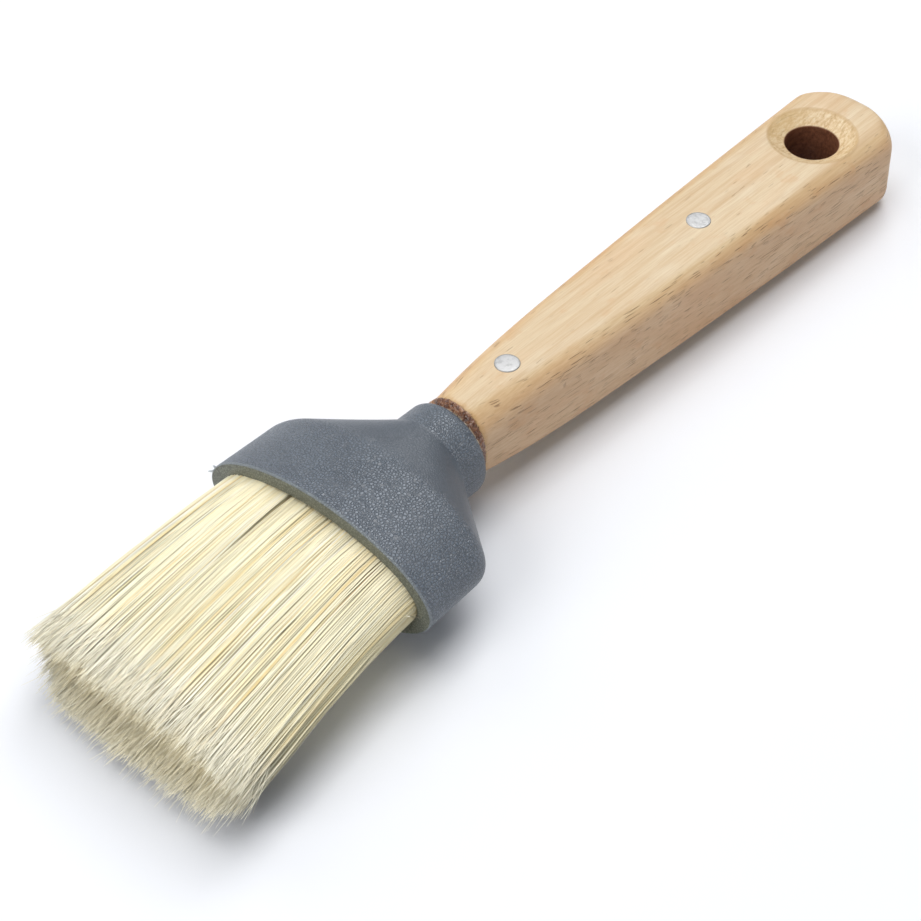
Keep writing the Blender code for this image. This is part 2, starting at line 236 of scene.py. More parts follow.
def beech_material():
    """Beech, with its grain along Y, rays ending on the sides and stain by the glue; painted shade
    darkens the sides and the hanging hole's bore.
    """
    mat, tree, shader = new_material("beech", specular_ior_level=0.35)
    x, y, _ = axes(place(tree))
    facing = node(tree, "TexCoord", {}).outputs["Normal"]
    sideways = calc("ABSOLUTE", axes(facing)[0])

    sway = noise(tree, (0.03, 0.012, 0.03), detail=1.0)
    bent = node(tree, "CombineXYZ", {0: times(sway, 2.2), 2: times(sway, 1.1)})
    rings = noise(tree, (0.42, 0.01, 0.07), detail=3.0, roughness=0.55, warp=bent.outputs[0])
    fibres = noise(tree, (3.4, 0.11, 3.4), detail=3.0, roughness=0.65)
    clouds = noise(tree, (0.09, 0.03, 0.09))
    tone = ramp(rings, [(0.30, (0.61, 0.43, 0.25)), (0.48, (0.70, 0.545, 0.355)),
                              (0.62, (0.735, 0.60, 0.41)), (0.80, (0.67, 0.50, 0.31))])
    tone = blend(band(clouds, 0.45, 0.72, 0.0, 0.34), tone, (0.74, 0.49, 0.29))
    smudges = noise(tree, (0.30, 0.16, 0.30), detail=3.0, roughness=0.6, offset=(3.0, 1.0, 0.0))
    tone = blend(band(smudges, 0.55, 0.72, 0.0, 0.45), tone, (0.66, 0.42, 0.23))
    pale = noise(tree, (0.20, 0.05, 0.20), offset=(9.0, 4.0, 2.0))
    tone = blend(band(pale, 0.52, 0.75, 0.0, 0.45), tone, (0.80, 0.70, 0.53))
    tone = blend(band(fibres, 0.32, 0.66, 0.42, 0.0), tone, (0.55, 0.37, 0.20))
    # painted shade with the wood's pinker side tone: faces turned sideways are darkened and turned pinker
    side_shade = band(sideways, 0.35, 0.95)
    tone = blend(times(side_shade, 0.75), tone, (0.97, 0.80, 0.72), "MULTIPLY")
    on_edge = times(band(sideways, 0.12, 0.5), band(sideways, 0.98, 0.75))
    tone = blend(times(on_edge, 0.6), tone, (1.0, 0.90, 0.72), "MULTIPLY")

    # rays: short dark dashes where they end on the sides, a few faint ones on the flats
    rays = noise(tree, (0.20, 0.25, 6.2), detail=0.0)
    side_dash = times(band(rays, 0.70, 0.765), band(sideways, 0.25, 0.6))
    pores = noise(tree, (5.0, 0.30, 0.4), offset=(5.0, 2.0, 0.0), detail=0.0)
    top_dash = times(band(pores, 0.80, 0.86), 0.6)
    dash = calc("MAXIMUM", side_dash, top_dash)
    tone = blend(times(dash, 0.58), tone, (0.19, 0.085, 0.035))

    # the cut faces of the hanging hole
    from_hole = node(tree, "CombineXYZ", {0: x, 1: minus(y, HOLE_Y)})
    radius = node(tree, "VectorMath", {0: from_hole.outputs[0]}, operation="LENGTH").outputs["Value"]
    torn = noise(tree, (1.6, 0.5, 1.0), detail=4.0, roughness=0.7)
    fuzz = noise(tree, (3.0, 2.0, 1.0), detail=3.0, roughness=0.7)
    far_side = band(y, HOLE_Y + 3.5, HOLE_Y + 8.0, 0.10, 0.35)
    torn = plus(torn, times(minus(fuzz, 0.5), far_side))
    in_sink = band(radius, SINK_R + 0.1, SINK_R - 0.5)
    cut_tone = ramp(torn, [(0.32, (0.48, 0.31, 0.14)), (0.48, (0.69, 0.50, 0.28)),
                                 (0.66, (0.84, 0.70, 0.48))])
    cut_tone = blend(band(x, -4.0, -8.5, 0.0, 0.5), cut_tone, (0.62, 0.43, 0.19))
    tone = blend(times(in_sink, 0.80), tone, cut_tone)
    lip = times(band(radius, SINK_R - 0.9, SINK_R - 0.3), band(radius, SINK_R + 0.4, SINK_R))
    tone = blend(times(lip, 0.45), tone, (0.52, 0.34, 0.16))
    # painted shade: the bore deep in the hanging hole is coloured dark red-brown, as if in shadow
    in_bore = band(radius, HOLE_R + 0.35, HOLE_R + 0.02)
    bore_shade_tone = ramp(torn, [(0.3, (0.11, 0.036, 0.018)), (0.7, (0.25, 0.10, 0.05))])
    tone = blend(in_bore, tone, bore_shade_tone)

    # glue soaked into the front end, with a ragged edge
    ragged = noise(tree, (0.8, 0.55, 0.8), detail=4.0, roughness=0.65)
    from_front = minus(y, times(ragged, 3.0))
    soaked = band(from_front, WOOD_FRONT_Y - 1.0, WOOD_FRONT_Y - 1.7)
    stained = band(from_front, WOOD_FRONT_Y + 0.3, WOOD_FRONT_Y - 1.3, 0.0, 0.60)
    tone = blend(stained, tone, (0.56, 0.33, 0.13))
    tone = blend(soaked, tone, (0.20, 0.08, 0.03))

    rough = plus(times(fibres, 0.12), 0.44)
    rough = minus(rough, times(soaked, 0.22))
    cut_depth = times(torn, calc("MAXIMUM", in_sink, in_bore))
    relief = plus(times(fibres, 0.10), times(cut_depth, 0.6))
    relief = minus(relief, times(dash, 0.7))
    link_look(shader, tone, rough, bump(relief, 0.12))
    return mat


def grained_plastic(name, dark, light, grain_depth, lip_highlight_and_flash_share, **sockets):
    """Moulded plastic: fine spark-eroded grain with painted glints on its domes, calmer on the neck, and
    a parting line.

    The argument after grain_depth sets how far the tone turns pale next to the rim, as a painted
    highlight on the rounded lip with a little pale flash; sockets as in new_material."""
    mat, tree, shader = new_material(name, **sockets)
    cells = node(tree, "TexVoronoi", {"Vector": place(tree, (1.8, 1.6, 1.8)), "Scale": 1.0},
                 feature="DISTANCE_TO_EDGE").outputs["Distance"]
    domes = band(cells, 0.0, 0.25)
    leather = noise(tree, (2.6, 2.2, 2.6), detail=3.0, roughness=0.6)
    fine = noise(tree, 9.0)
    cloud = noise(tree, (0.10, 0.14, 0.10), detail=3.0)
    tone = blend(band(cloud, 0.3, 0.7), dark, light)
    _, y, z = axes(place(tree))
    neck = times(band(y, SHOULDER_Y - 1.0, SHOULDER_Y + 3.0),
                 band(y, COLLAR_FRONT_Y + 0.4, COLLAR_FRONT_Y - 0.2))
    # painted highlight: the tops of the grain's domes are made brighter, as glints, and less so on the
    # neck
    painted_glints = times(domes, minus(0.75, times(neck, 0.55)))
    tone = blend(painted_glints, tone, (2.1, 2.1, 2.1), "MULTIPLY")
    # painted highlight on the rounded lip just behind the rim, with a little pale flash: the tone turns
    # pale grey there
    lip_highlight_and_flash = band(y, RIM_Y + 0.65, RIM_Y + 0.25, 0.0, lip_highlight_and_flash_share)
    tone = blend(lip_highlight_and_flash, tone, (0.24, 0.27, 0.28))
    rough = plus(times(leather, 0.12), sockets["roughness"] - 0.06)
    seam = calc("ABSOLUTE", minus(z, AXIS_Z))
    ridge = band(seam, 0.16, 0.04)
    grain = plus(domes, times(leather, 0.2))
    grain = times(grain, minus(1.0, times(neck, 0.75)))
    height = plus(grain, times(fine, 0.04))
    height = plus(height, times(ridge, 1.2))
    link_look(shader, tone, rough, bump(height, grain_depth))
    return mat


def glue_material():
    """Dried brown glue: dark and glossy, amber where it is thin, with a painted highlight in a pale line
    next to the collar and painted shade on its right side.
    """
    mat, tree, shader = new_material("brown_glue", specular_ior_level=0.9)
    lumps = noise(tree, 0.9, detail=3.0, roughness=0.6)
    specks = noise(tree, 2.6, detail=1.0)
    tone = ramp(lumps, [(0.30, (0.06, 0.018, 0.008)), (0.46, (0.16, 0.06, 0.026)),
                              (0.60, (0.32, 0.145, 0.065)), (0.74, (0.52, 0.32, 0.16))])
    x, y, _ = axes(place(tree))
    tone = blend(band(x, -3.0, -8.0, 0.0, 0.6), tone, (0.44, 0.26, 0.12))
    # painted shade: the right side of the ring is darkened
    tone = blend(band(x, 0.0, 5.0, 0.0, 0.7), tone, (0.62, 0.52, 0.50), "MULTIPLY")
    thin_edge = plus(y, times(specks, 1.2))
    thinness = band(thin_edge, WOOD_FRONT_Y + 0.5, WOOD_FRONT_Y + 1.1, 0.0, 0.8)
    tone = blend(thinness, tone, (0.40, 0.25, 0.11))
    # painted highlight: a thin pale line next to the collar's rear face, where the edge catches the
    # light, broken by the lumps
    collar_edge_highlight = times(band(y, COLLAR_REAR_Y + 0.40, COLLAR_REAR_Y + 0.15), band(lumps, 0.45, 0.52))
    tone = blend(collar_edge_highlight, tone, (0.62, 0.50, 0.34))
    height = plus(lumps, times(specks, 0.5))
    rough = band(specks, 0.3, 0.8, 0.12, 0.42)
    link_look(shader, tone, rough, bump(height, 0.34))
    return mat


def metal_material(name, colour, across, roughness, depth):
    """Metal with fine scratches; across gives their density along each axis, per mm."""
    mat, tree, shader = new_material(name, metallic=1.0)
    scratches = noise(tree, across, detail=4.0, roughness=0.7)
    stains = noise(tree, 0.9, detail=3.0, roughness=0.6)
    darker = tuple(0.74 * channel for channel in colour)
    tone = blend(band(stains, 0.42, 0.72), colour, darker)
    rough = plus(times(scratches, 0.22), roughness - 0.11)
    link_look(shader, tone, rough, bump(scratches, depth))
    return mat


def cast_material(name, colours, per_mm, roughness, depth):
    """Cast or sawn filler that is hidden in the ferrule."""
    mat, tree, shader = new_material(name)
    cloud = noise(tree, per_mm, detail=4.0, roughness=0.6)
    tone = ramp(cloud, [(0.3, colours[0]), (0.7, colours[1])])
    rough = band(cloud, 0.2, 0.8, roughness - 0.1, roughness + 0.1)
    link_look(shader, tone, rough, bump(cloud, depth))
    return mat


def bristle_material():
    """Natural bristle: a tone for each hair, yellower at the root and paler at the flags, with a painted
    golden glow on hairs deep in the tuft that stands in for light scattered among them.

    The attributes tone, inside and along are written by hair_object."""
    mat, tree, shader = new_material("bristle", roughness=0.42, specular_ior_level=0.45)
    tone = node(tree, "Attribute", {}, attribute_name="tone").outputs["Fac"]
    along = node(tree, "Attribute", {}, attribute_name="along").outputs["Fac"]
    colour = ramp(tone, [(0.00, (0.80, 0.61, 0.28)), (0.16, (0.90, 0.77, 0.45)),
                               (0.42, (0.95, 0.87, 0.59)), (0.75, (0.97, 0.92, 0.68)),
                               (0.94, (0.98, 0.95, 0.79)), (1.00, (0.60, 0.38, 0.18))])
    drift = noise(tree, (0.35, 0.07, 0.35))
    colour = blend(band(drift, 0.45, 0.72, 0.0, 0.30), colour, (0.93, 0.80, 0.50))
    colour = blend(band(along, 0.30, 0.0, 0.0, 0.22), colour, (0.88, 0.74, 0.46))
    colour = blend(band(along, 0.70, 1.0, 0.0, 0.70), colour, (0.98, 0.95, 0.81))
    inside = node(tree, "Attribute", {}, attribute_name="inside").outputs["Fac"]
    inside = times(inside, band(along, 0.72, 0.98, 1.0, 0.30))
    # painted glow: hairs deep in the tuft are blended towards gold, for light scattered among the packed
    # bristles
    colour = blend(calc("MULTIPLY", inside, 0.85, clamp=True), colour, (0.99, 0.81, 0.42))
    link_look(shader, colour, band(along, 0.7, 1.0, 0.40, 0.62))
    return mat


def flash_material():
    """Thin milky slivers of moulding flash."""
    mat, tree, shader = new_material("flash", roughness=0.35)
    tone = ramp(noise(tree, 2.0), [(0.3, (0.30, 0.33, 0.35)), (0.7, (0.52, 0.55, 0.56))])
    tree.links.new(tone, shader.inputs["Base Color"])
    return mat


# ---- mesh helpers ---------------------------------------------------------------------
def add_object(name, data):
    obj = bpy.data.objects.new(name, data)
    bpy.context.scene.collection.objects.link(obj)
    return obj


def mesh_object(name, points, faces, materials, sharp=40.0, indices=None):
    """An object from points in mm, smooth except at edges of more than sharp degrees.

    indices say which material each face has; without them all faces have the first."""
    mesh = bpy.data.meshes.new(name)
    mesh.from_pydata((np.asarray(points, float) * MM).tolist(), [], faces)
    for mat in materials:
        mesh.materials.append(mat)
    if indices is not None:
        mesh.polygons.foreach_set("material_index", indices)
    mesh.shade_smooth()
    mesh.set_sharp_from_angle(angle=math.radians(sharp))
    mesh.update()
    return add_object(name, mesh)


def skin(rings):
    """Points and faces of a closed body through rings of equal length."""
    rings = np.asarray(rings, float)
    count, around = rings.shape[:2]
    faces = []
    for i in range(count - 1):
        for j in range(around):
            k = (j + 1) % around
            faces.append((i * around + j, (i + 1) * around + j, (i + 1) * around + k, i * around + k))
    faces.append(tuple(range(around)))
    faces.append(tuple((count - 1) * around + j for j in reversed(range(around))))
    return rings.reshape(-1, 3), faces


def circle(count):
    """Angles spread evenly over a full turn."""
    return np.linspace(0.0, math.tau, count, endpoint=False)


def turned(profile, y, around=96):
    """Rings of a body turned about the upright axis through (0, y); profile holds (r, z)."""
    angles = circle(around)
    return [np.column_stack([r * np.cos(angles), y + r * np.sin(angles), np.full(around, z)])
            for r, z in profile]


def quarter_round(radius, count):
    """Steps (r (1 - cos a), r (1 - sin a)) over a quarter turn, for a rounded edge."""
    return [(radius * (1 - math.cos(a)), radius * (1 - math.sin(a)))
            for a in np.linspace(0.0, math.pi / 2, count)]


def arc_corner(before, corner, after, radius, steps=8):
    """Arc of the given radius that replaces a corner of a 2-D profile."""
    before, corner, after = (np.array(p, float) for p in (before, corner, after))
    into = (corner - before) / np.linalg.norm(corner - before)
    out = (after - corner) / np.linalg.norm(after - corner)
    turn = math.acos(float(np.clip(into @ out, -1.0, 1.0)))
    side = 1.0 if into[0] * out[1] - into[1] * out[0] > 0 else -1.0
    normal = np.array([-into[1], into[0]]) * side
    start = corner - into * radius * math.tan(turn / 2)
    centre = start + normal * radius
    angles = [turn * k / steps for k in range(steps + 1)]
    return [centre - normal * radius * math.cos(a) + into * radius * math.sin(a) for a in angles]


def cut_away(obj, cutters):
    """Applies exact differences, then removes the cutters."""
    for cutter in cutters:
        mod = obj.modifiers.new(cutter.name, "BOOLEAN")
        mod.operation = "DIFFERENCE"
        mod.solver = "EXACT"
        mod.object = cutter
    evaluated = obj.evaluated_get(bpy.context.evaluated_depsgraph_get())
    cut_mesh = bpy.data.meshes.new_from_object(evaluated)
    obj.modifiers.clear()
    obj.data = cut_mesh
    for cutter in cutters:
        bpy.data.objects.remove(cutter)


# ---- handle and rivets ----------------------------------------------------------------
CUTTER_CLEAR = 1.0              # how far cutters reach past the wood


def rounded_box(y, half_w, half_h, radius, mid_z, steps=12):
    """Rounded rectangle in the plane of constant y."""
    radius = min(radius, half_w - 0.05, half_h - 0.05)
    angles = np.linspace(0.0, math.pi / 2, steps + 1)
    loop = []
    for quarter in range(4):
        side_x = 1 if quarter in (0, 3) else -1
        side_z = 1 if quarter in (0, 1) else -1
        turn = angles + quarter * math.pi / 2
        loop.append(np.column_stack([side_x * (half_w - radius) + radius * np.cos(turn),
                                     np.full(steps + 1, y),
                                     mid_z + side_z * (half_h - radius) + radius * np.sin(turn)]))
    return np.vstack(loop)


def handle_size(y):
    """Half width, half height and corner radius of the wood."""
    along = y - (RIVETS["rivet_front"][0][1] + RIVETS["rivet_front"][1][1]) / 2
    half_w = HANDLE_HALF_W + HANDLE_TAPER * along - HANDLE_BELLY * along ** 2
    half_h = HANDLE_HALF_T
    if y < 0.0:
        half_h -= HANDLE_NECK_DIP * (y / HANDLE_FRONT_Y) ** 2
    t = (y - (HANDLE_END_Y - END_CAP)) / END_CAP
    if t > 0.0:
        half_w *= max(0.0, 1.0 - min(1.0, t) ** END_EXPONENT) ** (1 / END_EXPONENT)
    from_end = max(0.0, HANDLE_END_Y - y)
    if from_end < END_EDGE_R:
        half_h -= END_EDGE_R - math.sqrt(END_EDGE_R ** 2 - (END_EDGE_R - from_end) ** 2)
    k = max(0.0, 1.0 - (y - HANDLE_FRONT_Y) / HANDLE_NECK_REACH)
    radius = HANDLE_EDGE_R + (HANDLE_NECK_R - HANDLE_EDGE_R) * k * k
    return max(half_w, END_HALF_W), half_h, radius


def handle_ring(y, inset=0.0):
    half_w, half_h, radius = handle_size(y)
    return rounded_box(y, half_w - inset, half_h - inset, radius, HANDLE_MID_Z)


def hole_profile():
    """(radius, z) of the hanging hole's cutter, with a countersink at both faces."""
    top, low = HANDLE_MID_Z + HANDLE_HALF_T, HANDLE_MID_Z - HANDLE_HALF_T
    outside, lip, throat = (SINK_R + 3.0, top), (SINK_R, top), (HOLE_R, top - SINK_DEPTH)
    half = [(SINK_R + 3.0, top + CUTTER_CLEAR)]
    half += arc_corner(outside, lip, throat, SINK_LIP_R)
    half += arc_corner(lip, throat, (HOLE_R, low), THROAT_R)
    profile = half + [(r, 2 * HANDLE_MID_Z - z) for r, z in reversed(half)]
    # the upper lip starts just above the wood, so that the cutter crosses its face cleanly
    lift = 0.02
    profile[1] = (profile[1][0] + lift * (SINK_R - HOLE_R) / SINK_DEPTH, profile[1][1] + lift)
    return profile


def build_handle():
    """The wood, from the spigot in the collar to the rounded end, with its three holes."""
    spigot = [rounded_box(y, r, r, SPIGOT_R, AXIS_Z)
              for y, r in ((SPIGOT_FRONT_Y, SPIGOT_R - SPIGOT_CHAMFER),
                           (SPIGOT_FRONT_Y + SPIGOT_CHAMFER, SPIGOT_R), (WOOD_FRONT_Y, SPIGOT_R))]
    edge = [handle_ring(WOOD_FRONT_Y + back, inset) for back, inset in quarter_round(WOOD_EDGE_R, 6)]
    cap_start = HANDLE_END_Y - END_CAP
    shank = [handle_ring(y) for y in np.arange(HANDLE_FRONT_Y + 1.5, cap_start - 0.5, 1.8)]
    cap = [handle_ring(cap_start + END_CAP * math.sin(a)) for a in np.linspace(0.0, math.pi / 2, 26)]
    handle = mesh_object("beech_handle", *skin(spigot + edge + shank + cap), [beech_material()])

    cutters = [mesh_object("hole_cutter", *skin(turned(hole_profile(), HOLE_Y, 128)), [])]
    ends = (handle_low[2] - CUTTER_CLEAR, handle_high[2] + CUTTER_CLEAR)
    for name, (rivet_low, rivet_high) in RIVETS.items():
        drill = [(RIVET_R + RIVET_GAP, z) for z in ends]
        y = (rivet_low[1] + rivet_high[1]) / 2
        cutters.append(mesh_object(name + "_drill", *skin(turned(drill, y, 72)), []))
    cut_away(handle, cutters)
    handle.data.shade_smooth()
    handle.data.set_sharp_from_angle(angle=math.radians(32.0))
    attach(handle, "grip")
    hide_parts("handle")


def build_rivets():
    """Two pins with slightly domed ends, each turned about its own upright axis."""
    metal = metal_material("aluminium", (0.57, 0.57, 0.57), (6.0, 0.9, 3.0), 0.52, 0.06)
    for name, (low, high) in RIVETS.items():
        y = (low[1] + high[1]) / 2
        dome = [(0.88 * RIVET_R * math.sin(a), high[2] - RIVET_DOME * (1 - math.cos(a)))
                for a in np.linspace(0.0, math.pi / 2, 8)[1:]]
        shoulder = [(RIVET_R - inset, high[2] - RIVET_DOME - down)
                    for down, inset in quarter_round(RIVET_EDGE_R, 6)[1:]]
        upper = dome + shoulder
        profile = upper + [(r, low[2] + high[2] - z) for r, z in reversed(upper)]
        rivet = mesh_object(name + "_pin", *skin(turned(profile, y)), [metal])
        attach(rivet, "grip")
        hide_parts(name)


# ---- ferrule --------------------------------------------------------------------------
def sink(y):
    """How far the ferrule's middle lies below the axis at y."""
    return RIM_SINK * np.clip((SHOULDER_Y - y) / (SHOULDER_Y - RIM_Y), 0.0, 1.0)


def twisted(x, y, z):
    """Turns points given from the axis by the ferrule's twist; returns frame coordinates."""
    z = z - sink(y)
    c, s = math.cos(TWIST), math.sin(TWIST)
    return np.stack([x * c - z * s, y, AXIS_Z + x * s + z * c], axis=-1)


def oval(y, half_w, half_h, exponent, around=176):
    """Superellipse in the plane of constant y, round the ferrule's middle."""
    angles = circle(around)
    c, s = np.cos(angles), np.sin(angles)
    x = np.sign(c) * np.abs(c) ** (2 / exponent) * half_w
    z = np.sign(s) * np.abs(s) ** (2 / exponent) * half_h
    return twisted(x, np.full(around, y), z)


def ferrule_profile():
    """(y, flare) from the rim to the collar's rear face, with short steps."""
    rim, shoulder = (RIM_Y, RIM_A - COLLAR_R), (SHOULDER_Y, SHOULDER_A - COLLAR_R)
    neck, rear = (COLLAR_FRONT_Y, 0.0), (COLLAR_REAR_Y, 0.0)
    corners = (arc_corner(rim, shoulder, neck, SHOULDER_CORNER_R, 16),
               arc_corner(shoulder, neck, rear, NECK_CORNER_R, 12),
               arc_corner(neck, rear, (COLLAR_REAR_Y, -COLLAR_R), COLLAR_EDGE_R, 9))
    stations = [np.array(rim)]
    for corner in corners:
        start, end = stations[-1], corner[0]
        steps = max(1, int(np.linalg.norm(end - start) / 1.3))
        stations += [start + (end - start) * k / steps for k in range(1, steps)]
        stations += corner
    return stations


def ferrule_ring(y, flare, inset=0.0):
    """Outline of the outer skin, where it is flare wider on each side than the collar."""
    share = min(1.0, max(0.0, flare / (SHOULDER_A - COLLAR_R)))
    half_h = COLLAR_R + (SHOULDER_B - COLLAR_R) * share + min(0.0, flare)
    if y < SHOULDER_Y:
        half_h += (RIM_B - SHOULDER_B) * (y - SHOULDER_Y) / (RIM_Y - SHOULDER_Y)
    exponent = 2.0 + (RIM_EXPONENT - 2.0) * share
    return oval(y, COLLAR_R + flare - inset, half_h - inset, exponent)


def build_ferrule():
    """Hollow mouth, rim, outer skin and collar bore as one closed shell."""
    cavity = [oval(y, *size, CAVITY_EXPONENT) for y, size in
              ((CAVITY_END_Y, CAVITY_END), (RESIN_FRONT_Y, CAVITY_WAIST))]
    for k in np.linspace(0.15, 0.97, 9):
        y = RESIN_FRONT_Y + (RIM_Y - RESIN_FRONT_Y) * k
        half_w = CAVITY_WAIST[0] + (CAVITY_RIM[0] - CAVITY_WAIST[0]) * k
        cavity.append(oval(y, half_w, CAVITY_RIM[1], CAVITY_EXPONENT))
    inner_edge = [oval(RIM_Y + back, CAVITY_RIM[0] + wider, CAVITY_RIM[1] + wider, CAVITY_EXPONENT)
                  for wider, back in quarter_round(LIP_R, 5)]
    profile = ferrule_profile()
    rim_flare = profile[0][1]
    outer_edge = [ferrule_ring(RIM_Y + back, rim_flare, inset) for back, inset in quarter_round(LIP_R, 5)]
    outer = [ferrule_ring(*station) for station in profile[1:]]
    bore = [oval(y, r, r, 2.0) for y, r in
            ((COLLAR_REAR_Y, BORE_R + 0.3), (COLLAR_REAR_Y - 0.3, BORE_R), (BORE_END_Y, BORE_R))]
    rings = cavity + inner_edge + outer_edge + outer + bore
    points, faces = skin(rings)

    # material 1, the rim's, on the hollow with its end and on the rim's own face
    around = len(rings[0])
    rim_faces = (len(cavity) + len(inner_edge) + 1) * around
    indices = [1] * rim_faces + [0] * (len(faces) - rim_faces)
    indices[-2] = 1
    skin_tone = grained_plastic("grey_plastic", (0.067, 0.081, 0.101), (0.078, 0.094, 0.116), 0.12, 0.6,
                                roughness=0.38, specular_ior_level=1.0)
    rim_tone = grained_plastic("rim_plastic", (0.104, 0.11, 0.09), (0.136, 0.143, 0.116), 0.02, 0.0,
                               roughness=0.50, specular_ior_level=0.4)
    ferrule = mesh_object("grey_ferrule", points, faces, [skin_tone, rim_tone], indices=indices)
    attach(ferrule, "grip")
    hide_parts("ferrule")


def build_flash():
    """Slivers of flash left on the rim at the parting line."""
    random = np.random.default_rng(5)
    points, faces = [], []
    thick = 0.05
    for side, count, reach in ((-1, 4, 1.5), (1, 2, 0.7)):
        for _ in range(count):
            root = np.array([side * (RIM_A - 0.3), RIM_Y + random.uniform(0.1, 1.6),
                             AXIS_Z + random.normal(0.0, 0.35)])
            out = np.array([side * random.uniform(0.5, 1.0), random.uniform(-1.0, 0.2),
                            random.normal(0.0, 0.5)])
            wide = np.array([0.0, random.uniform(0.3, 0.7), random.normal(0.0, 0.3)])
            tip = root + out * reach * random.uniform(0.5, 1.0)
            outline = [root - wide, root + wide, tip + wide * 0.5, tip - wide * random.uniform(0.0, 0.4)]
            base = len(points)
            points += [p + [0, 0, thick] for p in outline] + [p - [0, 0, thick] for p in outline]
            faces += [tuple(base + i for i in (0, 1, 2, 3)), tuple(base + i for i in (7, 6, 5, 4))]
            faces += [(base + i, base + 4 + i, base + 4 + (i + 1) % 4, base + (i + 1) % 4)
                      for i in range(4)]
    flash = mesh_object("ferrule_flash", points, faces, [flash_material()], 20.0)
    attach(flash, "grip")


# ---- glue ring ------------------------------------------------------------------------
def ripple(angle, along, seed, waves):
    """Smooth pseudo-random lumps round a ring, about -1 to 1."""
    random = np.random.default_rng(seed)
    total = np.zeros(np.broadcast(angle, along).shape)
    for k in waves:
        phase = random.uniform(0, 6.28)
        slant, size = random.uniform(-3, 3), random.uniform(0.5, 1.0)
        total = total + size * np.sin(k * angle + slant * along + phase)
    return total / math.sqrt(len(waves))


def wood_reach(angles):
    """Distance from the ferrule's axis to the wood's outline, at each angle round the axis."""
    half_w, half_h, radius = handle_size(HANDLE_FRONT_Y + 1.0)
    outline = rounded_box(0.0, half_w, half_h, radius, HANDLE_MID_Z, steps=90)
    x, z = outline[:, 0], outline[:, 2] - AXIS_Z
    found = np.mod(np.arctan2(z, x), math.tau)
    order = np.argsort(found)
    return np.interp(angles, found[order], np.hypot(z, x)[order], period=math.tau)


def build_glue_ring(around=320, across=12):
    """Lumpy glue from the collar's rear face up over the edge of the wood."""
    angles = circle(around)
    wood = wood_reach(angles)
    creep = 0.15 + 0.22 * ripple(angles, 0.0, 11, (2, 3, 5, 9, 14, 23, 37))
    swell = 0.10 + 0.12 * ripple(angles, 0.0, 12, (3, 4, 7, 11, 19))
    rings = []
    collar_side = np.full(around, BORE_R + 0.5)
    for s in np.linspace(0.0, 1.0, across):
        y = COLLAR_REAR_Y - 0.02 + (WOOD_FRONT_Y + 0.1 + creep - COLLAR_REAR_Y) * s
        smooth = s * s * (3 - 2 * s)
        reach = collar_side + (wood + 0.02 - collar_side) * smooth
        reach = reach + swell * np.sin(math.pi * s) ** 0.8
        reach = reach + 0.07 * ripple(angles, 3.0 * s, 13, (13, 21, 29, 41, 57)) * math.sin(math.pi * s)
        rings.append((reach, y))
    rings.append((np.full(around, SPIGOT_R - 0.1), np.full(around, WOOD_FRONT_Y + 0.3)))
    rings.append((np.full(around, SPIGOT_R - 0.1), np.full(around, COLLAR_REAR_Y - 0.02)))
    points = [np.column_stack([reach * np.cos(angles), y * np.ones(around),
                               AXIS_Z + reach * np.sin(angles)]) for reach, y in rings]
    faces = []
    count = len(rings)
    for i in range(count):
        for j in range(around):
            k, n = (j + 1) % around, (i + 1) % count
            faces.append((i * around + j, i * around + k, n * around + k, n * around + j))
    ring = mesh_object("glue_ring", np.vstack(points), faces, [glue_material()], 60.0)
    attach(ring, "grip")
    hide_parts("glue_bead")


# ---- bristles -------------------------------------------------------------------------
# Every hair has a place (u, v) in the tuft's section, each from -1 to 1, and k runs from 0
# at the rim to 1 at the tips.
TUFT_A, TUFT_B = 24.9, 9.45     # half width and half height of both rows at the rim
TIP_A, TIP_B = 27.5, 6.6        # and at the tips
TUFT_EXPONENT = 2.25            # of the section's superellipse
TIP_BOXIER = 0.8                # added to the exponent at the tips
TIP_SHIFT = 2.4                 # the tips lean this far towards +X
TIP_SPLAY = 1.1                 # and the hairs at the right edge this much further
TIP_DROOP = 4.4
TIP_Y = -110.3
VALLEY = 4.6                    # how much shorter the hairs are where the rows meet
ROOT_Y = -45.0
# shares of the way along a hair at which it has a point; the first is its root in the resin
SHARES = np.array([-1.0, 0.0, 0.10, 0.20, 0.30, 0.40, 0.50, 0.60, 0.70, 0.80, 0.88, 0.95, 1.0])
HAIR_R = 0.152                  # thicker than real bristle, since there are fewer hairs
HAIR_SIDES = 3
HAIR_NORMAL_SPREAD = 0.46       # how much of its own roundness a hair shows
HAIR_SPACING = 0.245
SHELL_DEPTH = 1.3               # hairs this near the outside are all kept
CORE_SHARE = 0.40               # and this share of the rest
SPLIT_SHARE = 0.45              # split ends for each hair
BIG_CLUMP, SMALL_CLUMP, TINY_CLUMP = (3.4, 2.2), (1.15, 0.9), (0.5, 0.5)    # across and up
GOLDEN_SHARE, GOLDEN_SHIFT = 0.14, 0.34     # tiny clumps of golden hair, and their tone
STRAY = ((21.5, -56.0, 12.5), (23.2, -59.9, 13.6), (24.6, -60.6, 14.5), (26.3, -60.7, 15.4),
         (28.6, -60.2, 16.5))
# partings in the upper row: u, half width in mm, k where they start and end, lowest v
PARTINGS = ((-0.268, 0.55, 0.0, 0.40, 0.15), (0.52, 0.26, 0.42, 0.56, 0.4), (0.12, 0.10, 0.0, 0.25, 0.6))


def unit(values):
    return np.clip(values, 0, 1)


def superellipse_reach(angle, exponent):
    """Distance from the middle to the unit superellipse, at each angle."""
    return (np.abs(np.cos(angle)) ** exponent + np.abs(np.sin(angle)) ** exponent) ** (-1 / exponent)


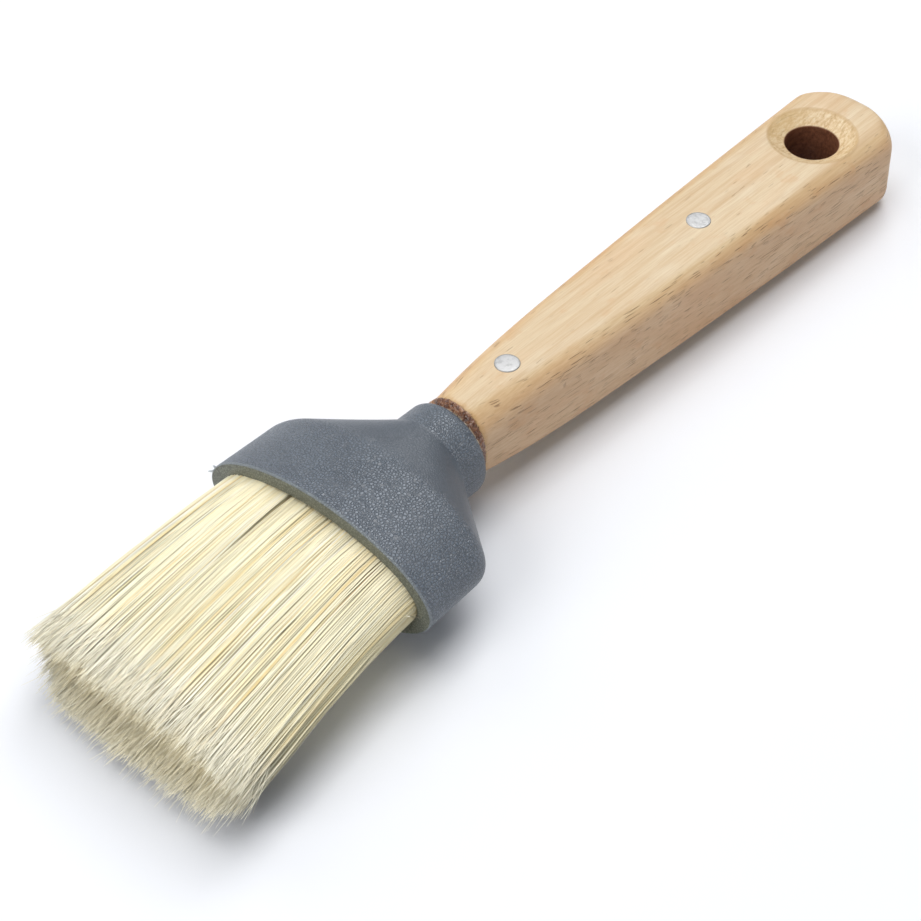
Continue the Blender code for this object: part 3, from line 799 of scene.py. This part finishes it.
def hair_roots(random):
    """u, v and depth in mm of every hair, packed like a jittered honeycomb."""
    spacing = HAIR_SPACING * 1.0
    rows = np.arange(-TUFT_B, TUFT_B, spacing * math.sqrt(3) / 2)
    grid = []
    for i, z in enumerate(rows):
        x = np.arange(-TUFT_A, TUFT_A, spacing) + (i % 2) * spacing / 2
        grid.append(np.column_stack([x, np.full(len(x), z)]))
    grid = np.vstack(grid)
    grid += random.normal(0.0, 0.16 * spacing, grid.shape)
    u, v = grid[:, 0] / TUFT_A, grid[:, 1] / TUFT_B
    reach = np.hypot(u, v) / superellipse_reach(np.arctan2(v, u), TUFT_EXPONENT)
    depth = (1.0 - reach) * TUFT_B
    kept = (depth > 0) & ((depth < SHELL_DEPTH) | (random.random(len(u)) < CORE_SHARE))
    return u[kept], v[kept], depth[kept]


def clumps(random, u, v, width, height):
    """For each hair the way to the nearest clump's centre, in mm, and the clump's number."""
    x, z = u * TUFT_A, v * TUFT_B
    columns = int(2 * TUFT_A / width) + 2
    lines = int(2 * TUFT_B / height) + 2
    offsets = random.uniform(-0.45, 0.45, (lines, columns, 2))
    best = np.full(len(x), 1e9)
    centre = np.zeros((len(x), 2))
    number = np.zeros(len(x), int)
    i0 = np.floor((z + TUFT_B) / height).astype(int)
    j0 = np.floor((x + TUFT_A) / width).astype(int)
    for di in (-1, 0, 1):
        for dj in (-1, 0, 1):
            i, j = np.clip(i0 + di, 0, lines - 1), np.clip(j0 + dj, 0, columns - 1)
            cx = (j + 0.5 + offsets[i, j, 0]) * width - TUFT_A
            cz = (i + 0.5 + offsets[i, j, 1]) * height - TUFT_B
            far = (x - cx) ** 2 + ((z - cz) * width / height) ** 2
            near = far < best
            best[near] = far[near]
            centre[near] = np.column_stack([cx, cz])[near]
            number[near] = (i * columns + j)[near]
    return centre[:, 0] - x, centre[:, 1] - z, number


def per_clump(draw, number, *spread):
    """One random value for each clump, given to all of its hairs."""
    return draw(*spread, number.max() + 1)[number]


def tip_line(random, u, v):
    """y of each hair's tip: shorter at the left edge and between the rows, and ragged."""
    n = len(u)
    edge_shorter = 0.7 * unit(-u) ** 4 - 0.6 * unit(u) ** 3
    valley = VALLEY * np.exp(-((v + 0.05) / 0.40) ** 2)
    wispy = 1.0 + 1.5 * unit((-u - 0.65) / 0.35)
    long_and_short = random.normal(0, 0.55, n)
    broken = random.exponential(0.8, n) * (random.random(n) < 0.4)
    return TIP_Y + 0.2 + edge_shorter + valley + 1.3 * v + (long_and_short + broken) * wispy


def own_slants(random, u):
    """Slope of each hair across and up; a few go astray, mostly at the right edge."""
    n = len(u)
    yaw = random.normal(0, 0.003, n)
    pitch = random.normal(0, 0.0022, n)
    astray = random.random(n) < 0.025
    yaw = np.where(astray, random.normal(0, 0.028, n), yaw)
    yaw = np.where((u > 0.84) & (random.random(n) < 0.06), random.uniform(0.01, 0.05, n), yaw)
    return yaw, pitch


def tuft_place(u, v, side, k):
    """x and z of smooth, evenly packed rows at k, before any hair strays."""
    half_w = TUFT_A + (TIP_A - TUFT_A) * k
    half_h = TUFT_B + (TIP_B - TUFT_B) * k
    angle = np.arctan2(v, u)
    exponent = TUFT_EXPONENT + TIP_BOXIER * k
    boxier = superellipse_reach(angle, exponent) / superellipse_reach(angle, TUFT_EXPONENT)
    left_low = unit(-u) * unit(-v) ** 0.7
    x = u * boxier * half_w * (1 - 0.22 * left_low * k) + TIP_SHIFT * k ** 1.3
    gap = (0.25 + 0.9 * k ** 3) * (1 - 0.6 * unit(u)) / half_h
    z = side * (gap + np.abs(v) * boxier * (1 - gap)) * half_h
    return x, z


def parted(u, v, k):
    """How far the partings push each hair sideways at k."""
    push = np.zeros(len(u))
    for place_u, width, start, end, from_v in PARTINGS:
        opened = unit((end - k) / (end - start)) ** 0.6
        opened *= unit((k - start) / 0.05 + 1.0)
        opened *= width * unit((v - from_v) * 5)
        push += np.sign(u - place_u) * opened * np.exp(-np.abs(u - place_u) * TUFT_A / 1.2)
    return push


def hair_tones(random, u, v, depth, small):
    """Each hair's tone, and a painted golden glow for hairs deep in the tuft and in the valley between
    the rows, standing in for light scattered through the packed bristles.
    """
    n = len(u)
    tiny = clumps(random, u, v, *TINY_CLUMP)[2]
    golden = GOLDEN_SHIFT * (per_clump(random.random, tiny) < GOLDEN_SHARE)
    tone = random.normal(0.56, 0.22, n) + per_clump(random.normal, small, 0, 0.06) - golden
    tone = np.clip(tone, 0.0, 0.94)
    tone = np.where(random.random(n) < 0.006, 1.0, tone)    # a few brown hairs
    inside = (depth - 0.12) / 1.1 + random.normal(0, 0.10, n)
    inside = unit(inside * np.where(v < -0.35, 0.45, 1.0))
    # painted glow in the valley between the rows, where the scattered light turns golden
    valley = np.exp(-((v + 0.05) / 0.28) ** 2) * unit(depth / 1.5 - 0.2)
    return tone, inside + 1.3 * valley


def outward_ways(u, v):
    """The way each hair's part of the tuft faces, at every share along it."""
    ways = np.zeros((len(u), len(SHARES), 3))
    ways[..., 0] = (np.sign(u) * np.abs(u) ** 1.6 / TUFT_A)[:, None]
    ways[..., 2] = ((0.35 + np.sign(v) * np.abs(v) ** 1.6) / TUFT_B)[:, None]
    ways /= np.linalg.norm(ways, axis=2, keepdims=True)
    lean = np.interp(SHARES, (0.15, 0.50, 0.68, 0.84, 1.0), (0.05, 0.08, 0.10, 0.16, 0.34))
    ways[..., 1] = -lean
    # towards the tips the lower row shows its ragged ends, which face out and up
    lifted = (unit((0.3 - v) / 0.6)[:, None] * unit((SHARES - 0.3) / 0.5))[..., None]
    upward = np.stack([0.15 * u, np.full(len(u), -0.45), np.full(len(u), 0.90)], axis=-1)
    return ways * (1 - lifted) + upward[:, None, :] * lifted


def hair_paths():
    """Every hair's centre points, radii, outward ways, (tone, inside), row side and u."""
    random = np.random.default_rng(2024)
    u, v, depth = hair_roots(random)
    n = len(u)
    side = np.where(v >= 0, 1.0, -1.0)
    big_x, big_z, big = clumps(random, u, v, *BIG_CLUMP)
    small_x, small_z, small = clumps(random, u, v, *SMALL_CLUMP)
    big_pull = per_clump(random.uniform, big, 0.0, 0.06)
    small_pull = per_clump(random.uniform, small, 0.0, 0.12)
    turn = per_clump(random.normal, big, 0, 0.09) + per_clump(random.normal, small, 0, 0.07)
    lift = per_clump(random.normal, big, 0, 0.05) + per_clump(random.normal, small, 0, 0.04)
    small_length = per_clump(random.normal, small, 0, 0.45)
    tip_y = tip_line(random, u, v) + small_length
    dip = (np.abs(per_clump(random.normal, big, 0, 0.08))
           + np.abs(per_clump(random.normal, small, 0, 0.08)))
    yaw, pitch = own_slants(random, u)
    bow_x, bow_z = random.normal(0, 0.16, n), random.normal(0, 0.05, n)
    wave_size, wave_phase = random.uniform(0.02, 0.10, n), random.uniform(0, 6.28, n)

    paths = np.zeros((n, len(SHARES), 3))
    for ring, share in enumerate(SHARES):
        out = share >= 0
        y = RIM_Y + 1.0 + (tip_y - RIM_Y - 1.0) * share if out else np.full(n, ROOT_Y)
        k = np.clip((RIM_Y - y) / (RIM_Y - TIP_Y), 0.0, 1.1)
        x, z = tuft_place(u, v, side, k)
        x += (big_x * big_pull + small_x * small_pull) * k ** 1.1 + turn * k ** 1.4
        z += (big_z * big_pull + small_z * small_pull) * k ** 1.1 + lift * k
        x += yaw * (RIM_Y - y) * out + bow_x * k ** 2
        z += pitch * (RIM_Y - y) * out + bow_z * k ** 2
        x += wave_size * np.sin(y / 3.1 + wave_phase) * out
        z -= dip * np.exp(-k / 0.10) * unit(v)
        x += parted(u, v, k)
        x += TIP_SPLAY * unit((u - 0.82) / 0.18) ** 2 * k ** 1.5
        z -= TIP_DROOP * k ** 1.5 + unit(u - 0.45) * k ** 2
        paths[:, ring] = twisted(x, y, z)
    thick = HAIR_R * random.uniform(0.8, 1.2, n)
    taper = np.interp(SHARES, (0.15, 0.50, 0.68, 0.84, 0.94, 1.0), (1.0, 0.95, 0.89, 0.78, 0.62, 0.22))
    tones = hair_tones(random, u, v, depth, small)
    return paths, thick[:, None] * taper, outward_ways(u, v), tones, side, u


def split_ends(random, paths, radii, outward, tones):
    """Short, finer hairs that branch off near the tips."""
    count = int(len(paths) * SPLIT_SHARE)
    chosen = random.integers(0, len(paths), count)
    start = paths[chosen, -4] + (paths[chosen, -3] - paths[chosen, -4]) * random.random((count, 1))
    tip = paths[chosen, -1]
    reach = np.linalg.norm(tip - start, axis=1)[:, None]
    aim = tip - start + random.normal(0, 0.15, (count, 3)) * reach * np.array([1.0, 0.6, 0.8])
    middle = start + aim * 0.55 + random.normal(0, 0.02, (count, 3)) * reach
    end = start + aim * random.uniform(0.9, 1.25, (count, 1))
    new_paths = np.stack([start, middle, end], axis=1)
    new_radii = radii[chosen, -5][:, None] * np.array([0.62, 0.50, 0.12])
    return new_paths, new_radii, outward[chosen, -3:], (tones[0][chosen], tones[1][chosen])


def tubes(paths, radii, outward, random, sides=HAIR_SIDES):
    """Points, normals and faces of thin closed tubes along paths.

    One flat of each tube faces out of the row.  Packed hairs pass light on to one another,
    so they look less round than they are: their normals lean the way the row faces."""
    n, rings = paths.shape[:2]
    middle = outward[:, rings * 2 // 3]
    facing = np.arctan2(middle[:, 2], middle[:, 0]) + random.normal(0, 0.25, n)
    turn = facing[:, None] + (np.arange(sides) + 0.5) * math.tau / sides
    ring_x, ring_z = np.cos(turn), np.sin(turn)
    points = np.repeat(paths[:, :, None, :], sides, axis=2)
    points[..., 0] += radii[:, :, None] * ring_x[:, None, :]
    points[..., 2] += radii[:, :, None] * ring_z[:, None, :]
    normals = np.repeat(outward[:, :, None, :] / HAIR_NORMAL_SPREAD, sides, axis=2)
    normals[..., 0] += ring_x[:, None, :]
    normals[..., 2] += ring_z[:, None, :]
    normals /= np.linalg.norm(normals, axis=-1, keepdims=True)
    base = np.arange(n)[:, None, None] * rings * sides
    i = np.arange(rings - 1)[:, None] * sides
    j = np.arange(sides)
    after = (j + 1) % sides
    near, far = base + i, base + i + sides
    quads = np.stack([near + j, near + after, far + after, far + j], axis=-1)
    first = base[:, 0] + np.arange(sides)[::-1]
    last = base[:, 0] + (rings - 1) * sides + np.arange(sides)
    faces = quads.reshape(-1, 4).tolist() + first.tolist() + last.tolist()
    return points.reshape(-1, 3), normals.reshape(-1, 3), faces


def hair_object(name, groups, random, mat):
    """One mesh from groups of (paths, radii, outward directions, tones, shares along)."""
    points, normals, faces = [], [], []
    values = {"tone": [], "inside": [], "along": []}
    base = 0
    for paths, radii, outward, (tone, inside), share in groups:
        new_points, new_normals, new_faces = tubes(paths, radii, outward, random)
        points.append(new_points)
        normals.append(new_normals)
        faces += [[base + index for index in face] for face in new_faces]
        base += len(new_points)
        corners = paths.shape[1] * HAIR_SIDES
        values["tone"].append(np.repeat(tone, corners))
        values["inside"].append(np.repeat(inside, corners))
        values["along"].append(np.tile(np.repeat(unit(share), HAIR_SIDES), len(paths)))
    obj = mesh_object(name, np.vstack(points), faces, [mat], 180.0)
    obj.data.normals_split_custom_set_from_vertices(np.vstack(normals).tolist())
    for key, parts in values.items():
        attribute = obj.data.attributes.new(key, "FLOAT", "POINT")
        attribute.data.foreach_set("value", np.concatenate(parts).astype(np.float32))
    return obj


def stray_hair():
    """One hair that is bent back over the rim."""
    upward = np.tile([0.0, -0.3, 0.95], (1, len(STRAY), 1))
    radii = HAIR_R * np.linspace(1.0, 0.5, len(STRAY))[None, :]
    return np.array([STRAY]), radii, upward, (np.array([0.9]), np.array([0.0]))


def build_bristles():
    """Left, middle and right piece of each row, which bend from the rim to the tips."""
    random = np.random.default_rng(77)
    mat = bristle_material()
    paths, radii, outward, (tone, inside), side, u = hair_paths()
    for row, row_side in (("upper", 1.0), ("lower", -1.0)):
        for part, low, high in (("left", -2.0, -0.36), ("middle", -0.36, 0.36), ("right", 0.36, 2.0)):
            mine = (side == row_side) & (u >= low) & (u < high)
            whole = (paths[mine], radii[mine], outward[mine], (tone[mine], inside[mine]))
            split = split_ends(random, *whole)
            groups = [(*whole, SHARES), (*split, np.array([0.9, 0.96, 1.0]))]
            if (row, part) == ("upper", "right"):
                groups.append((*stray_hair(), np.linspace(0.2, 0.6, len(STRAY))))
            hairs = hair_object(f"{row}_hairs_{part}", groups, random, mat)
            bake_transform(hairs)
            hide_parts(row + "_bristles", "bristle_roots")


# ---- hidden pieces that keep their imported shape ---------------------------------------
def dress_hidden_nodes():
    steel = metal_material("steel", (0.55, 0.56, 0.58), (3.0, 0.3, 3.0), 0.40, 0.02)
    resin = cast_material("resin", ((0.24, 0.18, 0.08), (0.36, 0.29, 0.15)), (0.4, 0.4, 0.4), 0.35, 0.2)
    sawn = cast_material("divider", ((0.42, 0.29, 0.17), (0.60, 0.45, 0.28)), (2.0, 0.2, 2.0), 0.7, 0.1)
    for name, mat in (("tang", steel), ("setting_resin", resin), ("divider_plug", sawn)):
        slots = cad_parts[name].data.materials
        slots.clear()
        slots.append(mat)


# ---- stage ----------------------------------------------------------------------------
REST_Y = (-46.0, 104.0)         # the brush touches the table under the ferrule and the far end
REST_Z = (0.0, 4.5)
LIGHT_REACH = 1.1               # metres


def build_floor():
    """A pale table that the ferrule and the far end of the handle both touch."""
    mat, tree, shader = new_material("table", roughness=0.55, specular_ior_level=0.2)
    cloud = noise(tree, 0.02)
    tone = ramp(cloud, [(0.2, (0.878, 0.89, 0.925)), (0.8, (0.893, 0.905, 0.94))])
    tree.links.new(tone, shader.inputs["Base Color"])
    half, below = 2500.0, 0.05
    slope = (REST_Z[1] - REST_Z[0]) / (REST_Y[1] - REST_Y[0])
    corners = [(sx * half, sy * half, REST_Z[0] - below + slope * (sy * half - REST_Y[0]))
               for sx, sy in ((-1, -1), (1, -1), (1, 1), (-1, 1))]
    floor = mesh_object("table_top", corners, [(0, 1, 2, 3)], [mat])


def area_light(name, direction, size, power):
    """A square soft box that faces the middle of the brush from LIGHT_REACH; size in metres."""
    light = bpy.data.lights.new(name, "AREA")
    light.shape = "SQUARE"
    light.size = size
    light.energy = power
    obj = add_object(name, light)
    towards = np.array(direction, float) / np.linalg.norm(direction)
    obj.location = (towards * LIGHT_REACH).tolist()
    obj.rotation_euler = Vector((-towards).tolist()).to_track_quat("-Z", "Y").to_euler()


def build_lights():
    """Soft boxes above, behind, in front and at both sides, and a dim, slightly blue room."""
    area_light("key", (-0.02, 0.0, 1.0), 0.74, 5.1)
    area_light("back", (-0.20, 0.55, 0.78), 0.62, 4.5)
    area_light("front", (-0.14, -0.78, 0.60), 0.70, 4.9)
    area_light("left", (-0.80, 0.0, 0.60), 0.70, 2.0)
    area_light("right", (0.85, 0.0, 0.50), 0.70, 0.8)
    world = bpy.data.worlds.new("studio")
    world.use_nodes = True
    background = world.node_tree.nodes["Background"]
    background.inputs["Color"].default_value = (0.90, 0.95, 1.0, 1.0)
    background.inputs["Strength"].default_value = 0.19
    bpy.context.scene.world = world
    bpy.context.scene.view_settings.view_transform = "Standard"


def build_camera():
    """Long lens, from in front and to the right of the bristles, looking down at the brush."""
    azimuth, elevation = math.radians(42.436), math.radians(44.339)
    aim = np.array([4.7, -23.6, 14.0])
    distance = 531.6
    back = np.array([math.sin(azimuth) * math.cos(elevation),
                     -math.cos(azimuth) * math.cos(elevation), math.sin(elevation)])
    data = bpy.data.cameras.new("camera")
    data.lens = 108.03
    data.sensor_width = 36.0
    camera = add_object("camera", data)
    camera.location = ((aim + distance * back) * MM).tolist()
    camera.rotation_euler = (math.pi / 2 - elevation, 0.0, azimuth)
    bpy.context.scene.camera = camera


build_camera()
build_lights()
build_floor()
build_handle()
build_rivets()
build_ferrule()
build_flash()
build_glue_ring()
build_bristles()
dress_hidden_nodes()
